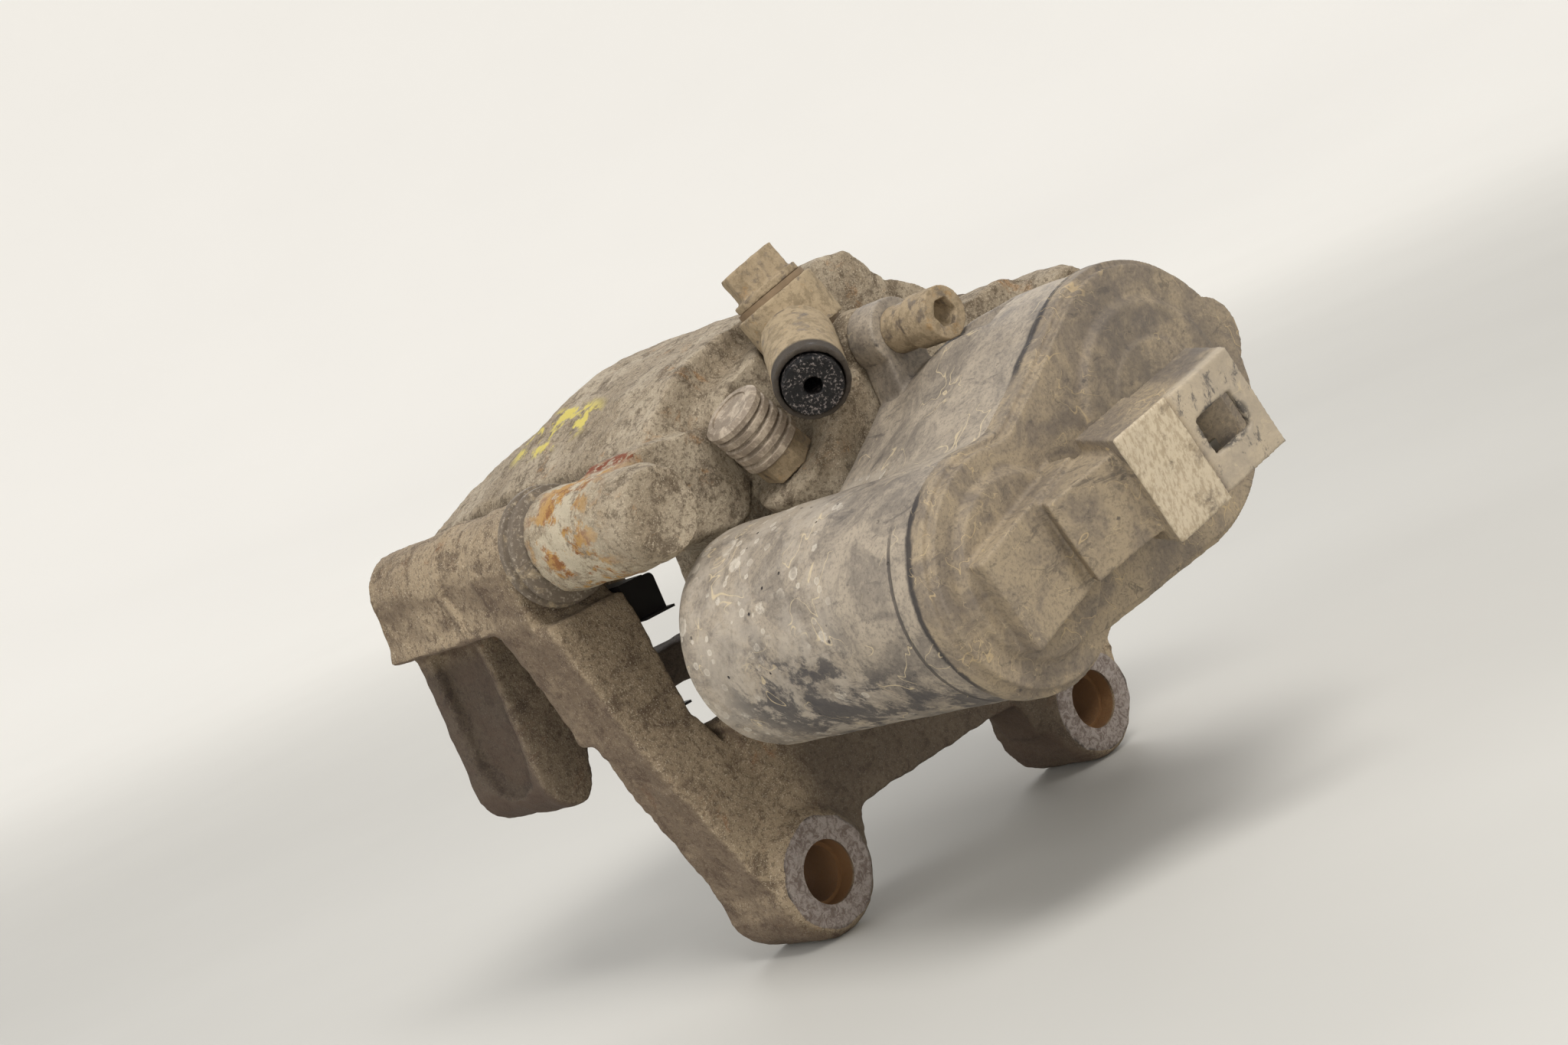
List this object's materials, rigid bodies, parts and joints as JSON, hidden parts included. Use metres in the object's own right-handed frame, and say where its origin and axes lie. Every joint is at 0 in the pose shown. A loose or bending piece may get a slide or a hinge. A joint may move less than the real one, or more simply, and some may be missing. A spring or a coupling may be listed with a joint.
{
  "type": "brake caliper",
  "caption": "Floating disc brake caliper on its carrier bracket, with sliding guide pins, a hydraulic piston, a banjo hose connection, a bleed valve and an electric parking brake actuator.",
  "frame": {"origin": "midway between the two knuckle bolt holes, on the carrier's inboard mounting faces", "axes": "+Y parallel to the wheel's spin axis, pointing outboard, the way the piston and the guide pins run; +X along the line between the two knuckle bolts; +Z radially outward from the wheel, towards the bridge"},
  "size_m": [0.1434, 0.188, 0.1261],
  "materials": {
    "carrier": "rough cast, road dirt and light rust",
    "housing": "rough cast, grey-brown dirt with rust patches",
    "bright_steel": "ground",
    "dull_steel": "plated steel under dirt",
    "spring_steel": "black coated sheet",
    "copper": "dull copper washer",
    "rubber": "dusty rubber",
    "hose": "black hose rubber, cut end",
    "cap_rubber": "dust cap under dirt",
    "actuator_plastic": "grey glass-filled plastic with dust",
    "gear_plastic": "natural acetal",
    "tin": "tin plated",
    "magnet": "ferrite",
    "windings": "laminations and winding"
  },
  "bodies": {
    "carrier": {"carrier_bracket": "carrier", "abutment_clips": "spring_steel", "pin_boot_near": "rubber", "pin_boot_far": "rubber"},
    "housing": {"caliper_housing": "housing", "guide_pin_near": "bright_steel", "guide_pin_far": "bright_steel", "guide_pin_bolt": "dull_steel", "banjo_bolt": "dull_steel", "banjo_washers": "copper", "hose_fitting": "dull_steel", "brake_hose_stub": "hose", "piston_seal": "rubber", "piston_boot": "rubber", "thrust_bearing": "bright_steel", "spindle_seal": "rubber", "actuator_case": "actuator_plastic", "actuator_seal": "rubber", "actuator_lid": "actuator_plastic", "connector_terminals": "tin", "actuator_screws": "dull_steel", "idler_axle": "bright_steel", "sun_axle": "bright_steel", "ring_gear": "gear_plastic", "motor_can": "tin", "motor_end_cap": "gear_plastic", "motor_magnets": "magnet"},
    "bleed_valve": {"bleed_screw": "dull_steel", "bleed_cap": "cap_rubber"},
    "piston": {"piston": "bright_steel"},
    "nut": {"spindle_nut": "dull_steel"},
    "spindle": {"spindle": "bright_steel", "circlip": "spring_steel", "output_drive": "gear_plastic"},
    "sun": {"sun_gear": "gear_plastic"},
    "idler": {"idler_gear": "gear_plastic"},
    "rotor": {"motor_armature": "windings", "motor_pinion": "bright_steel"},
    "planet_a": {"planet_gear_a": "gear_plastic"},
    "planet_b": {"planet_gear_b": "gear_plastic"},
    "planet_c": {"planet_gear_c": "gear_plastic"}
  },
  "joints": [
    {"name": "housing_slide", "type": "slide", "parent": "carrier", "child": "housing", "axis": [0, 1, 0], "range_m": [-0.01, 0]},
    {"name": "piston_slide", "type": "slide", "parent": "housing", "child": "piston", "axis": [0, 1, 0], "range_m": [0, 0.012]},
    {"name": "bleed_valve_turn", "type": "hinge", "parent": "housing", "child": "bleed_valve", "pos_m": [-0.027, -0.02, 0.0742], "axis": [-0.5349, 0.016, 0.8448], "range_deg": [0, 180]},
    {"name": "rotor_turn", "type": "hinge", "parent": "housing", "child": "rotor", "pos_m": [-0.0443, 0, 0.0479], "axis": [0, 1, 0], "range_deg": [-76346.47, 0]},
    {"name": "idler_turn", "type": "hinge", "parent": "housing", "child": "idler", "pos_m": [-0.0244, 0, 0.05192], "axis": [0, 1, 0], "range_deg": [-1, 19918]},
    {"name": "sun_turn", "type": "hinge", "parent": "housing", "child": "sun", "pos_m": [0, 0, 0.0606], "axis": [0, 1, 0], "range_deg": [-5941, 1]},
    {"name": "spindle_turn", "type": "hinge", "parent": "housing", "child": "spindle", "pos_m": [0, 0, 0.0606], "axis": [0, 1, 0], "range_deg": [-1081, 1]},
    {"name": "planet_a_spin", "type": "hinge", "parent": "spindle", "child": "planet_a", "pos_m": [0, 0, 0.07215], "axis": [0, 1, 0], "range_deg": [-1, 2779]},
    {"name": "planet_b_spin", "type": "hinge", "parent": "spindle", "child": "planet_b", "pos_m": [-0.01, 0, 0.05482], "axis": [0, 1, 0], "range_deg": [-1, 2779]},
    {"name": "planet_c_spin", "type": "hinge", "parent": "spindle", "child": "planet_c", "pos_m": [0.01, 0, 0.05482], "axis": [0, 1, 0], "range_deg": [-1, 2779]},
    {"name": "nut_slide", "type": "slide", "parent": "housing", "child": "nut", "axis": [0, 1, 0], "range_m": [-0.00005, 0.0061]}
  ],
  "couplings": [
    {"joint": "idler_turn", "follows": "rotor_turn", "ratio": -0.26087},
    {"joint": "sun_turn", "follows": "rotor_turn", "ratio": 0.077803},
    {"joint": "spindle_turn", "follows": "rotor_turn", "ratio": 0.014146},
    {"joint": "planet_a_spin", "follows": "rotor_turn", "ratio": -0.036376},
    {"joint": "planet_b_spin", "follows": "rotor_turn", "ratio": -0.036376},
    {"joint": "planet_c_spin", "follows": "rotor_turn", "ratio": -0.036376},
    {"joint": "nut_slide", "follows": "rotor_turn", "m_per_rad": -0.0000045028}
  ]
}
